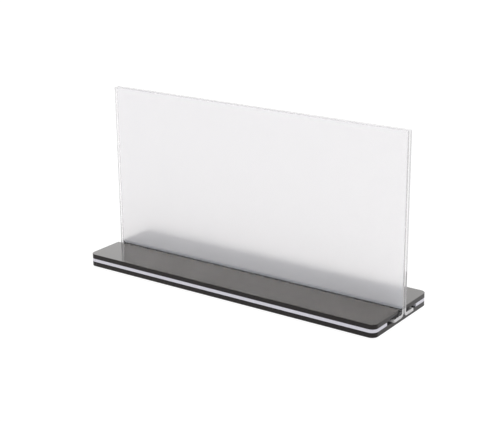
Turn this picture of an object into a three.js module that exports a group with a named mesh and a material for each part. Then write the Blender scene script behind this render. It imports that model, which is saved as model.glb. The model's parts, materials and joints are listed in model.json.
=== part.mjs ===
// Acrylic sign stand: a laminated base with a slot, and two clear L-bent sheets that stand back to
// back in it with a frosted insert between them.
//
// Millimetres. +Z is up, +X runs along the stand and -Y is its front. The origin is on the desk,
// under the centre of the base.

import * as THREE from 'three';

// Base: three layers of acrylic, with the slot and the channel for the feet along the middle
const baseLength = 200;
const baseDepth = 59;
const plateThickness = 2.8;
const outerCornerRadius = 4;
const slotCornerRadius = 0.3;
const edgeBevel = 0.12;

// Pads under the base
const padRadius = 5;
const padHeight = 1;
const padRim = 0.25;
const padInset = 12;

// Clear sheets: a straight face with a foot, heat-bent along the lower edge
const sheetLength = 200;
const sheetThickness = 1.8;
const displayHeight = 99;
const footLength = 10.3;
const bendInnerRadius = 1.1;
const frontSheetShift = 1.3;
const rearSheetShift = 1.55;

// Frosted insert between the sheets
const insertThickness = 0.2;
const insertEndInset = 1;
const insertTopInset = 0.3;
const insertIntoSlot = 0.3;
const insertCornerRadius = 1.5;

// Clearances
const insertClearance = 0.05;
const footClearance = 0.15;
const toeClearance = 5.8;

// Smoothness of the round stretches
const cornerSegments = 16;
const bendSegments = 16;
const padSegments = 40;

// Sizes that follow
const spacerThickness = sheetThickness + footClearance;
const innerPlane = insertThickness / 2 + insertClearance;
const outerPlane = innerPlane + sheetThickness;
const bendOuterRadius = bendInnerRadius + sheetThickness;
const slotHalfWidth = outerPlane + bendInnerRadius;
const channelHalfWidth = innerPlane + footLength + toeClearance;
const baseHalfDepth = baseDepth / 2;

// Heights above the desk
const bottomPlateZ = padHeight;
const channelFloorZ = bottomPlateZ + plateThickness;
const topPlateZ = channelFloorZ + spacerThickness;
const baseTopZ = topPlateZ + plateThickness;
const sheetTopZ = baseTopZ + displayHeight;
const insertBottomZ = baseTopZ - insertIntoSlot;
const insertTopZ = sheetTopZ - insertTopInset;

const blackAcrylic = new THREE.MeshStandardMaterial({ color: 0x1c1b1d, roughness: 0.08, metalness: 0 });
const whiteAcrylic = new THREE.MeshStandardMaterial({ color: 0xdcdae4, roughness: 0.15, metalness: 0 });
const clearAcrylic = new THREE.MeshStandardMaterial({
  color: 0xe8edef, roughness: 0.04, metalness: 0, transparent: true, opacity: 0.25,
});
const frostedFilm = new THREE.MeshStandardMaterial({
  color: 0xefeeef, roughness: 0.6, metalness: 0, transparent: true, opacity: 0.85,
});
const padRubber = new THREE.MeshStandardMaterial({ color: 0x232325, roughness: 0.85, metalness: 0 });

const stand = new THREE.Group();

function addPiece(name, geometry, material, x = 0, y = 0, z = 0) {
  const piece = new THREE.Mesh(geometry, material);
  piece.name = name;
  piece.position.set(x, y, z);
  stand.add(piece);
}

// A rectangle whose near corners (low y) and far corners (high y) have radii of their own; a radius
// of 0 leaves the corner square
function roundedRectangle(xLow, xHigh, yLow, yHigh, nearRadius, farRadius) {
  const largest = Math.min(xHigh - xLow, yHigh - yLow) / 2 - edgeBevel;
  const corners = [
    { x: xHigh, y: yLow, inwardX: -1, inwardY: 1, radius: nearRadius, start: -Math.PI / 2 },
    { x: xHigh, y: yHigh, inwardX: -1, inwardY: -1, radius: farRadius, start: 0 },
    { x: xLow, y: yHigh, inwardX: 1, inwardY: -1, radius: farRadius, start: Math.PI / 2 },
    { x: xLow, y: yLow, inwardX: 1, inwardY: 1, radius: nearRadius, start: Math.PI },
  ];
  const points = [];
  for (const corner of corners) {
    const radius = Math.min(corner.radius, largest);
    const steps = radius > 0 ? cornerSegments : 0;
    for (let step = 0; step <= steps; step += 1) {
      const angle = corner.start + (step / cornerSegments) * (Math.PI / 2);
      const x = corner.x + radius * (corner.inwardX + Math.cos(angle));
      const y = corner.y + radius * (corner.inwardY + Math.sin(angle));
      points.push(new THREE.Vector2(x, y));
    }
  }
  return new THREE.Shape(points);
}

// A plate cut from sheet, with a fine bevel on every edge, standing on z = 0
function plate(outline, thickness, bevel = edgeBevel) {
  const geometry = new THREE.ExtrudeGeometry(outline, {
    depth: thickness - 2 * bevel,
    bevelThickness: bevel,
    bevelSize: bevel,
    bevelOffset: -bevel,
    bevelSegments: 1,
  });
  return geometry.translate(0, 0, bevel);
}

// The base: side is -1 for the strips in front of the slot and 1 for those behind it
function baseStrip(side, innerEdge, innerRadius, thickness) {
  const edges = [side * innerEdge, side * baseHalfDepth].sort((a, b) => a - b);
  const radii = side < 0 ? [outerCornerRadius, innerRadius] : [innerRadius, outerCornerRadius];
  return plate(roundedRectangle(-baseLength / 2, baseLength / 2, ...edges, ...radii), thickness);
}

function addBase() {
  const bottomOutline = roundedRectangle(
    -baseLength / 2, baseLength / 2, -baseHalfDepth, baseHalfDepth, outerCornerRadius, outerCornerRadius,
  );
  addPiece('bottom_plate', plate(bottomOutline, plateThickness), blackAcrylic, 0, 0, bottomPlateZ);
  for (const [place, side] of [['front', -1], ['rear', 1]]) {
    const spacer = baseStrip(side, channelHalfWidth, 0, spacerThickness);
    addPiece(`${place}_spacer`, spacer, whiteAcrylic, 0, 0, channelFloorZ);
    const topPlate = baseStrip(side, slotHalfWidth, slotCornerRadius, plateThickness);
    addPiece(`${place}_top_plate`, topPlate, blackAcrylic, 0, 0, topPlateZ);
  }
}

// A flat rubber disc with a rounded-off rim
function addPads() {
  const profile = [
    new THREE.Vector2(0, 0),
    new THREE.Vector2(padRadius - padRim, 0),
    new THREE.Vector2(padRadius, padRim),
    new THREE.Vector2(padRadius, padHeight),
    new THREE.Vector2(0, padHeight),
  ];
  for (const [depthName, sideY] of [['front', -1], ['rear', 1]]) {
    for (const [lengthName, sideX] of [['left', -1], ['right', 1]]) {
      const pad = new THREE.LatheGeometry(profile, padSegments).rotateX(Math.PI / 2);
      const x = sideX * (baseLength / 2 - padInset);
      const y = sideY * (baseHalfDepth - padInset);
      addPiece(`pad_${depthName}_${lengthName}`, pad, padRubber, x, y, 0);
    }
  }
}

// The L-shaped section of a sheet, drawn with its height above the channel floor as y
function sheetSection(side, height) {
  const toe = innerPlane + footLength;
  const bendCentre = innerPlane + bendOuterRadius;
  const outline = new THREE.Shape();
  outline.moveTo(toe, edgeBevel);
  outline.lineTo(toe, sheetThickness - edgeBevel);
  outline.lineTo(toe - edgeBevel, sheetThickness);
  outline.absarc(bendCentre, bendOuterRadius, bendInnerRadius, -Math.PI / 2, -Math.PI, true);
  outline.lineTo(outerPlane, height - edgeBevel);
  outline.lineTo(outerPlane - edgeBevel, height);
  outline.lineTo(innerPlane + edgeBevel, height);
  outline.lineTo(innerPlane, height - edgeBevel);
  outline.absarc(bendCentre, bendOuterRadius, bendOuterRadius, Math.PI, 3 * Math.PI / 2, false);
  outline.lineTo(toe - edgeBevel, 0);
  outline.closePath();
  const points = outline.getPoints(bendSegments).map((p) => new THREE.Vector2(side * p.x, p.y));
  return new THREE.Shape(points);
}

function addSheet(name, side, shift) {
  const geometry = plate(sheetSection(side, sheetTopZ - channelFloorZ), sheetLength);
  const along = new THREE.Vector3(1, 0, 0);
  const across = new THREE.Vector3(0, 1, 0);
  const up = new THREE.Vector3(0, 0, 1);
  geometry.applyMatrix4(new THREE.Matrix4().makeBasis(across, up, along));
  addPiece(name, geometry, clearAcrylic, shift - sheetLength / 2, 0, channelFloorZ);
}

// The insert: a thin sheet with rounded corners, centred on the rear sheet and held between the two
// clear sheets, that fills the display down into the top of the slot
function addInsert() {
  const length = sheetLength - 2 * insertEndInset;
  const height = insertTopZ - insertBottomZ;
  const outline = roundedRectangle(
    -length / 2, length / 2, 0, height, insertCornerRadius, insertCornerRadius,
  );
  const insertBevel = insertThickness / 5;
  const geometry = plate(outline, insertThickness, insertBevel);
  geometry.rotateX(Math.PI / 2).translate(0, insertThickness / 2, 0);
  addPiece('insert_sheet', geometry, frostedFilm, rearSheetShift, 0, insertBottomZ);
}

addPads();
addBase();
addSheet('front_panel', -1, frontSheetShift);
addSheet('rear_panel', 1, rearSheetShift);
addInsert();

export default stand;
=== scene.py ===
"""Acrylic sign stand: a glossy laminated base that holds two clear bent sheets with a frosted insert.

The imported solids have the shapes. This script adds smooth shading, materials, light and the camera.
Metres. +Z is up, +X runs along the stand and -Y is its front, where the camera stands.
"""

import json
import math

import bpy
from mathutils import Matrix, Vector

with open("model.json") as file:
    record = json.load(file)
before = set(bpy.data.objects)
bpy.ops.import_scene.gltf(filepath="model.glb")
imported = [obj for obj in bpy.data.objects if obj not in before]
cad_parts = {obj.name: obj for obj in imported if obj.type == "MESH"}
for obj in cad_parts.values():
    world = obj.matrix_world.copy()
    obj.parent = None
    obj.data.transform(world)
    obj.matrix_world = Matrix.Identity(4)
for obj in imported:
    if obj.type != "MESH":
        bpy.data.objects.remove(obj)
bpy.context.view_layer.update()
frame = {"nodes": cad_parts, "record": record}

MM = 0.001
MICRON = 0.000001
BLACK = 0, 0, 0
WHITE = 1, 1, 1

# Camera, fitted to the straight edges of the stand in the photograph (500 x 422 pixels)
PHOTO_WIDTH = 500
FOCAL_PIXELS = 1202.5
SENSOR_WIDTH = 36.0
CAMERA_PLACE = Vector((382.7, -538.2, 258.24)) * MM
CAMERA_YAW = math.radians(35.43)
CAMERA_PITCH = math.radians(17.83)
CAMERA_ROLL = math.radians(-0.52)
CLIP_NEAR = 0.01
CLIP_FAR = 50.0

# World: its brightness to the camera, to diffuse rays, and in gloss and through clear pieces. Only the
# last has a band of soft light. It rises between its first two heights and fades between its last two,
# where 0 is the horizon and 1 is straight up.
WORLD_SEEN = 1.0
WORLD_DIFFUSE = 1.0
WORLD_IN_GLOSS = 1.06
BAND = 0.18, 0.28, 0.48, 0.62
BAND_BRIGHTNESS = 2.46

# Floor: the camera, gloss and clear pieces see its glow, with a weak diffuse share that keeps the
# object's shadow. Other rays meet its full albedo.
FLOOR_SIZE = 12.0
FLOOR_DROP = 0.2 * MM
FLOOR_GLOW = 0.95
FLOOR_SHADOW_ALBEDO = 0.13
FLOOR_ALBEDO = 0.85

# Noise patterns: their waves in a metre, their detail, and their scale along X, Y and Z
CAST_CLOUD = 60.0, 3.0, (1, 1, 1)
CAST_GRAIN = 900.0, 5.0, (1, 1, 1)
CUTTING_MARKS = 4000.0, 2.0, (1, 1, 0.03)
SHEET_GRAIN = 500.0, 4.0, (1, 1, 1)
FILM_GRAIN = 2500.0, 4.0, (1, 1, 1)
RUBBER_GRAIN = 1800.0, 4.0, (1, 1, 1)

# Where noise mostly lies. A colour or roughness below that has two values varies between them with it.
NOISE_RANGE = 0.3, 0.7

# Gloss acrylic of the base. The gleam tints what a face mirrors: on black, that is a little warm.
CAST_IOR = 1.49
CAST_SPECULAR = 0.33
MARKS_DEPTH = 2 * MICRON
BLACK_COLOURS = (0.0015, 0.002, 0.004), (0.003, 0.004, 0.007)
BLACK_ROUGHNESS = 0.03, 0.07
BLACK_GLEAM = 1.0, 0.89, 0.80
WHITE_COLOURS = (0.65, 0.64, 0.705), (0.69, 0.68, 0.745)
WHITE_ROUGHNESS = 0.10, 0.18
WHITE_GLEAM = 1.0, 1.0, 1.0

# Faces of the clear sheets. Light bends less in them than in real acrylic, which keeps the mirror
# images in them faint. The tint is what they leave of the light that they let straight through.
SHEET_IOR = 1.36
FACE_CLEARNESS = 1.0
FACE_COLOUR = 1.0, 0.998, 1.0
FACE_ROUGHNESS = 0.06, 0.12
SHEET_TINT = 0.98, 0.983, 0.983

# Cut edges of the clear sheets: the faces with at least this much of their normal along X, along Z
# above a height, or along Y at the foot's toe. They scatter the light that isn't let in, and above the
# bend a share of them is seen straight through.
EDGE_FACING = 0.5
TOP_EDGE_ABOVE = 100 * MM
TOE_EDGE_BEYOND = 9 * MM
EDGE_COLOUR = 0.80, 0.79, 0.80
EDGE_ROUGHNESS = 0.06, 0.14
EDGE_CLEARNESS = 0.25
EDGE_SEEN_THROUGH = 0.4

# Heated bend of the clear sheets, with the foot
BEND_BELOW = 8.5 * MM
BEND_CLEARNESS = 0.96

# Frosted film: light that goes on through it comes out warm, and the light it scatters is bluish
FILM_IOR = 1.25
FILM_HAZINESS = 0.31
FILM_THROUGH = (1.0, 0.952, 0.905), (1.0, 0.962, 0.92)
FILM_HAZE = (0.87, 0.905, 1.0), (0.91, 0.935, 1.0)
FILM_ROUGHNESS = 0.35, 0.39
HAZE_ROUGHNESS = 0.6
FILM_GRAIN_DEPTH = 3 * MICRON
FILM_TINT = 0.92, 0.92, 0.925

# Rubber of the pads
RUBBER_IOR = 1.5
RUBBER_COLOURS = (0.012, 0.012, 0.013), (0.03, 0.03, 0.032)
RUBBER_ROUGHNESS = 0.7, 0.9
RUBBER_GRAIN_DEPTH = 40 * MICRON

# Corners closer than the distance are joined, and edges flatter than the angle shade as one surface
MERGE_DISTANCE = 1 * MICRON
SMOOTH_ANGLE = math.radians(30)

# Sockets of a Mix node, whose names are the same for numbers and colours
NUMBER_A, NUMBER_B, NUMBER_RESULT = 2, 3, 0
COLOUR_A, COLOUR_B, COLOUR_RESULT = 6, 7, 2


def opaque(colour):
    return (*colour, 1)


def grey(level):
    return (level, level, level, 1)


def clear_tree(tree):
    """Empties a node tree; gives a function that links two sockets and one that adds a node."""
    tree.nodes.clear()

    def node(kind, **settings):
        made = tree.nodes.new(kind)
        for key, value in settings.items():
            if key in made.inputs:
                made.inputs[key].default_value = value
            else:
                setattr(made, key, value)
        return made

    return tree.links.new, node


def new_material(name):
    material = bpy.data.materials.new(name)
    material.use_nodes = True
    link, node = clear_tree(material.node_tree)
    return material, link, node, node("ShaderNodeOutputMaterial")


def principled(node, **inputs):
    named = {key.replace("_", " "): value for key, value in inputs.items()}
    return node("ShaderNodeBsdfPrincipled", **named)


def feed(link, socket, value):
    """Sets a socket to a number, or links another socket to it."""
    if isinstance(value, (int, float)):
        socket.default_value = value
    else:
        link(value, socket)


def calculate(link, node, operation, *values):
    made = node("ShaderNodeMath", operation=operation)
    for socket, value in zip(made.inputs, values):
        feed(link, socket, value)
    return made.outputs["Value"]


def between(link, node, share, low, high):
    """Blends two values, each a number or a socket, by a share of 0 to 1."""
    mix = node("ShaderNodeMix", data_type="FLOAT")
    link(share, mix.inputs["Factor"])
    feed(link, mix.inputs[NUMBER_A], low)
    feed(link, mix.inputs[NUMBER_B], high)
    return mix.outputs[NUMBER_RESULT]


def blend_shaders(link, node, share, first, second):
    """The first shader where the share is 0, and the second where it is 1."""
    mix = node("ShaderNodeMixShader")
    feed(link, mix.inputs["Fac"], share)
    link(first, mix.inputs[1])
    link(second, mix.inputs[2])
    return mix.outputs["Shader"]


def noise(link, node, scale, detail, stretch):
    """Noise in the object's own metres."""
    coordinates = node("ShaderNodeTexCoord")
    mapping = node("ShaderNodeMapping", Scale=stretch)
    texture = node("ShaderNodeTexNoise", Scale=scale, Detail=detail)
    link(coordinates.outputs["Object"], mapping.inputs["Vector"])
    link(mapping.outputs["Vector"], texture.inputs["Vector"])
    return texture.outputs["Fac"]


def spread(link, node, value, limits):
    """A number that varies between two limits with noise."""
    ramp = node("ShaderNodeMapRange")
    for key, limit in zip(("From Min", "From Max", "To Min", "To Max"), (*NOISE_RANGE, *limits)):
        ramp.inputs[key].default_value = limit
    link(value, ramp.inputs["Value"])
    return ramp.outputs["Result"]


def two_colours(link, node, value, colours):
    """A colour that varies between two with noise."""
    ramp = node("ShaderNodeValToRGB")
    for stop, place, colour in zip(ramp.color_ramp.elements, NOISE_RANGE, colours):
        stop.position = place
        stop.color = opaque(colour)
    link(value, ramp.inputs["Fac"])
    return ramp.outputs["Color"]


def bump(link, node, height, depth):
    made = node("ShaderNodeBump", Distance=depth)
    link(height, made.inputs["Height"])
    return made.outputs["Normal"]


def ray_is(link, node, first, *others):
    """1 for a ray of any of these kinds."""
    path = node("ShaderNodeLightPath")
    value = path.outputs[first]
    for kind in others:
        value = calculate(link, node, "MAXIMUM", value, path.outputs[kind])
    return value


def lets_lamps_through(link, node, output, shader, tint):
    """Lamp light and soft bounced light pass straight through a clear piece, nearly as in reality."""
    clear = node("ShaderNodeBsdfTransparent", Color=opaque(tint))
    passes = ray_is(link, node, "Is Shadow Ray", "Is Diffuse Ray")
    link(blend_shaders(link, node, passes, shader, clear.outputs["BSDF"]), output.inputs["Surface"])


def cast_acrylic(name, colours, roughness, gleam):
    """Opaque gloss acrylic: slightly uneven faces and fine upright cutting marks on the edges."""
    material, link, node, output = new_material(name)
    shader = principled(
        node, IOR=CAST_IOR, Specular_IOR_Level=CAST_SPECULAR, Specular_Tint=opaque(gleam),
    )
    cloud = noise(link, node, *CAST_CLOUD)
    link(two_colours(link, node, cloud, colours), shader.inputs["Base Color"])
    grain = noise(link, node, *CAST_GRAIN)
    link(spread(link, node, grain, roughness), shader.inputs["Roughness"])
    marks = noise(link, node, *CUTTING_MARKS)
    link(bump(link, node, marks, MARKS_DEPTH), shader.inputs["Normal"])
    link(shader.outputs["BSDF"], output.inputs["Surface"])
    return material


def sheet_masks(link, node):
    """Three masks over a clear sheet: its cut edges, all from the bend down, and the edges above it."""
    coordinates = node("ShaderNodeTexCoord")
    normal, place = node("ShaderNodeSeparateXYZ"), node("ShaderNodeSeparateXYZ")
    link(coordinates.outputs["Normal"], normal.inputs["Vector"])
    link(coordinates.outputs["Object"], place.inputs["Vector"])

    def combine(operation, *values):
        return calculate(link, node, operation, *values)

    def beyond(vector, axis, least):
        return combine("GREATER_THAN", combine("ABSOLUTE", vector.outputs[axis]), least)

    end = beyond(normal, "X", EDGE_FACING)
    top = combine("MULTIPLY", beyond(normal, "Z", EDGE_FACING), beyond(place, "Z", TOP_EDGE_ABOVE))
    toe = combine("MULTIPLY", beyond(normal, "Y", EDGE_FACING), beyond(place, "Y", TOE_EDGE_BEYOND))
    edge = combine("MAXIMUM", end, combine("MAXIMUM", top, toe))
    bend = combine("LESS_THAN", place.outputs["Z"], BEND_BELOW)
    return edge, bend, combine("GREATER_THAN", edge, bend)


def clear_acrylic(name):
    """Clear gloss faces, cut edges that scatter some light, and a heated bend that is a little hazy."""
    material, link, node, output = new_material(name)
    shader = principled(node, IOR=SHEET_IOR)
    edge, bend, free_edge = sheet_masks(link, node)
    colour = node("ShaderNodeMix", data_type="RGBA")
    link(edge, colour.inputs["Factor"])
    colour.inputs[COLOUR_A].default_value = opaque(FACE_COLOUR)
    colour.inputs[COLOUR_B].default_value = opaque(EDGE_COLOUR)
    link(colour.outputs[COLOUR_RESULT], shader.inputs["Base Color"])
    grain = noise(link, node, *SHEET_GRAIN)
    face_roughness = spread(link, node, grain, FACE_ROUGHNESS)
    edge_roughness = spread(link, node, grain, EDGE_ROUGHNESS)
    link(between(link, node, edge, face_roughness, edge_roughness), shader.inputs["Roughness"])
    face_clearness = between(link, node, bend, FACE_CLEARNESS, BEND_CLEARNESS)
    clearness = between(link, node, edge, face_clearness, EDGE_CLEARNESS)
    link(clearness, shader.inputs["Transmission Weight"])
    straight = node("ShaderNodeBsdfTransparent", Color=opaque(EDGE_COLOUR))
    share = between(link, node, free_edge, 0.0, EDGE_SEEN_THROUGH)
    sheet = blend_shaders(link, node, share, shader.outputs["BSDF"], straight.outputs["BSDF"])
    lets_lamps_through(link, node, output, sheet, SHEET_TINT)
    return material


def frosted_film(name):
    """A thin matt film that lets light through blurred and scatters some of it."""
    material, link, node, output = new_material(name)
    through = principled(node, Transmission_Weight=1.0, IOR=FILM_IOR)
    haze = principled(node, IOR=FILM_IOR, Roughness=HAZE_ROUGHNESS)
    grain = noise(link, node, *FILM_GRAIN)
    link(two_colours(link, node, grain, FILM_THROUGH), through.inputs["Base Color"])
    link(two_colours(link, node, grain, FILM_HAZE), haze.inputs["Base Color"])
    link(spread(link, node, grain, FILM_ROUGHNESS), through.inputs["Roughness"])
    texture = bump(link, node, grain, FILM_GRAIN_DEPTH)
    link(texture, through.inputs["Normal"])
    link(texture, haze.inputs["Normal"])
    film = blend_shaders(link, node, FILM_HAZINESS, through.outputs["BSDF"], haze.outputs["BSDF"])
    lets_lamps_through(link, node, output, film, FILM_TINT)
    return material


def pad_rubber(name):
    material, link, node, output = new_material(name)
    shader = principled(node, IOR=RUBBER_IOR)
    grain = noise(link, node, *RUBBER_GRAIN)
    link(two_colours(link, node, grain, RUBBER_COLOURS), shader.inputs["Base Color"])
    link(spread(link, node, grain, RUBBER_ROUGHNESS), shader.inputs["Roughness"])
    link(bump(link, node, grain, RUBBER_GRAIN_DEPTH), shader.inputs["Normal"])
    link(shader.outputs["BSDF"], output.inputs["Surface"])
    return material


def dress_nodes():
    materials = {
        "black_acrylic": cast_acrylic("black_acrylic_gloss", BLACK_COLOURS, BLACK_ROUGHNESS, BLACK_GLEAM),
        "white_acrylic": cast_acrylic("white_acrylic_gloss", WHITE_COLOURS, WHITE_ROUGHNESS, WHITE_GLEAM),
        "clear_acrylic": clear_acrylic("clear_acrylic_gloss"),
        "frosted_film": frosted_film("frosted_film_matt"),
        "pad_rubber": pad_rubber("pad_rubber_matt"),
    }
    slots = {entry["node"]: entry["material_slot"] for entry in frame["record"]["subparts"]}
    for name, piece in frame["nodes"].items():
        for slot in piece.material_slots:
            slot.material = materials[slots[name]]


def smooth_group():
    """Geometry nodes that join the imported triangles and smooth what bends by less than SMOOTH_ANGLE."""
    group = bpy.data.node_groups.new("smooth_round_stretches", "GeometryNodeTree")
    group.interface.new_socket("Geometry", in_out="INPUT", socket_type="NodeSocketGeometry")
    group.interface.new_socket("Geometry", in_out="OUTPUT", socket_type="NodeSocketGeometry")
    link, node = clear_tree(group)
    start, end = node("NodeGroupInput"), node("NodeGroupOutput")
    bare = node("GeometryNodeRemoveAttribute", Name="custom_normal")
    merge = node("GeometryNodeMergeByDistance", Distance=MERGE_DISTANCE)
    angle = node("GeometryNodeInputMeshEdgeAngle")
    flat = node("FunctionNodeCompare", operation="LESS_THAN", B=SMOOTH_ANGLE)
    faces = node("GeometryNodeSetShadeSmooth", domain="FACE")
    edges = node("GeometryNodeSetShadeSmooth", domain="EDGE")
    link(start.outputs["Geometry"], bare.inputs["Geometry"])
    link(bare.outputs["Geometry"], merge.inputs["Geometry"])
    link(merge.outputs["Geometry"], faces.inputs["Geometry"])
    link(faces.outputs["Geometry"], edges.inputs["Geometry"])
    link(angle.outputs["Unsigned Angle"], flat.inputs["A"])
    link(flat.outputs["Result"], edges.inputs["Shade Smooth"])
    link(edges.outputs["Geometry"], end.inputs["Geometry"])
    return group


def smooth_nodes():
    group = smooth_group()
    for piece in frame["nodes"].values():
        modifier = piece.modifiers.new("smooth", "NODES")
        modifier.node_group = group


def add_camera():
    data = bpy.data.cameras.new("camera")
    data.sensor_width = SENSOR_WIDTH
    data.lens = SENSOR_WIDTH * FOCAL_PIXELS / PHOTO_WIDTH
    data.clip_start = CLIP_NEAR
    data.clip_end = CLIP_FAR
    camera = bpy.data.objects.new("camera", data)
    bpy.context.scene.collection.objects.link(camera)
    forward = Vector((
        -math.sin(CAMERA_YAW) * math.cos(CAMERA_PITCH),
        math.cos(CAMERA_YAW) * math.cos(CAMERA_PITCH),
        -math.sin(CAMERA_PITCH),
    ))
    level = Vector((math.cos(CAMERA_YAW), math.sin(CAMERA_YAW), 0))
    upright = level.cross(forward)
    right = math.cos(CAMERA_ROLL) * level + math.sin(CAMERA_ROLL) * upright
    up = right.cross(forward)
    turn = Matrix((right, up, -forward)).transposed().to_4x4()
    camera.matrix_world = Matrix.Translation(CAMERA_PLACE) @ turn
    bpy.context.scene.camera = camera


def floor_material():
    """White with a glow to the camera, in gloss and through clear pieces, and diffuse to other rays."""
    material, link, node, output = new_material("floor_white")
    lit = node("ShaderNodeBsdfDiffuse", Color=grey(FLOOR_ALBEDO))
    shadow = node("ShaderNodeBsdfDiffuse", Color=grey(FLOOR_SHADOW_ALBEDO))
    glow = node("ShaderNodeEmission", Color=opaque(WHITE), Strength=FLOOR_GLOW)
    seen = node("ShaderNodeAddShader")
    link(shadow.outputs["BSDF"], seen.inputs[0])
    link(glow.outputs["Emission"], seen.inputs[1])
    looks = ray_is(link, node, "Is Camera Ray", "Is Glossy Ray", "Is Transmission Ray")
    floor = blend_shaders(link, node, looks, lit.outputs["BSDF"], seen.outputs["Shader"])
    link(floor, output.inputs["Surface"])
    material.cycles.emission_sampling = "NONE"
    return material


def add_floor():
    half = FLOOR_SIZE / 2
    mesh = bpy.data.meshes.new("floor")
    corners = [(-half, -half, 0), (half, -half, 0), (half, half, 0), (-half, half, 0)]
    mesh.from_pydata(corners, [], [(0, 1, 2, 3)])
    mesh.materials.append(floor_material())
    floor = bpy.data.objects.new("floor", mesh)
    bpy.context.scene.collection.objects.link(floor)
    floor.location.z = -FLOOR_DROP


def add_world():
    """Even white light, with a brighter soft band that shows in gloss and through clear pieces only."""
    world = bpy.data.worlds.new("studio")
    world.use_nodes = True
    link, node = clear_tree(world.node_tree)
    output = node("ShaderNodeOutputWorld")
    background = node("ShaderNodeBackground", Color=opaque(WHITE))
    coordinates = node("ShaderNodeTexCoord")
    direction = node("ShaderNodeSeparateXYZ")
    band = node("ShaderNodeValToRGB")
    band.color_ramp.interpolation = "EASE"
    stops = band.color_ramp.elements
    for stop, place in zip(stops, (BAND[0], BAND[3])):
        stop.position = place
        stop.color = opaque(BLACK)
    for place in BAND[1:3]:
        stops.new(place).color = opaque(WHITE)
    bright = node("ShaderNodeMapRange", **{"To Min": WORLD_IN_GLOSS, "To Max": BAND_BRIGHTNESS})
    path = node("ShaderNodeLightPath")
    link(coordinates.outputs["Generated"], direction.inputs["Vector"])
    link(direction.outputs["Z"], band.inputs["Fac"])
    link(band.outputs["Color"], bright.inputs["Value"])
    seen = between(link, node, path.outputs["Is Camera Ray"], bright.outputs["Result"], WORLD_SEEN)
    lit = between(link, node, path.outputs["Is Diffuse Ray"], seen, WORLD_DIFFUSE)
    link(lit, background.inputs["Strength"])
    link(background.outputs["Background"], output.inputs["Surface"])
    world.cycles.sampling_method = "NONE"
    bpy.context.scene.world = world


add_camera()
add_world()
add_floor()
dress_nodes()
smooth_nodes()
bpy.context.scene.view_settings.view_transform = "Standard"
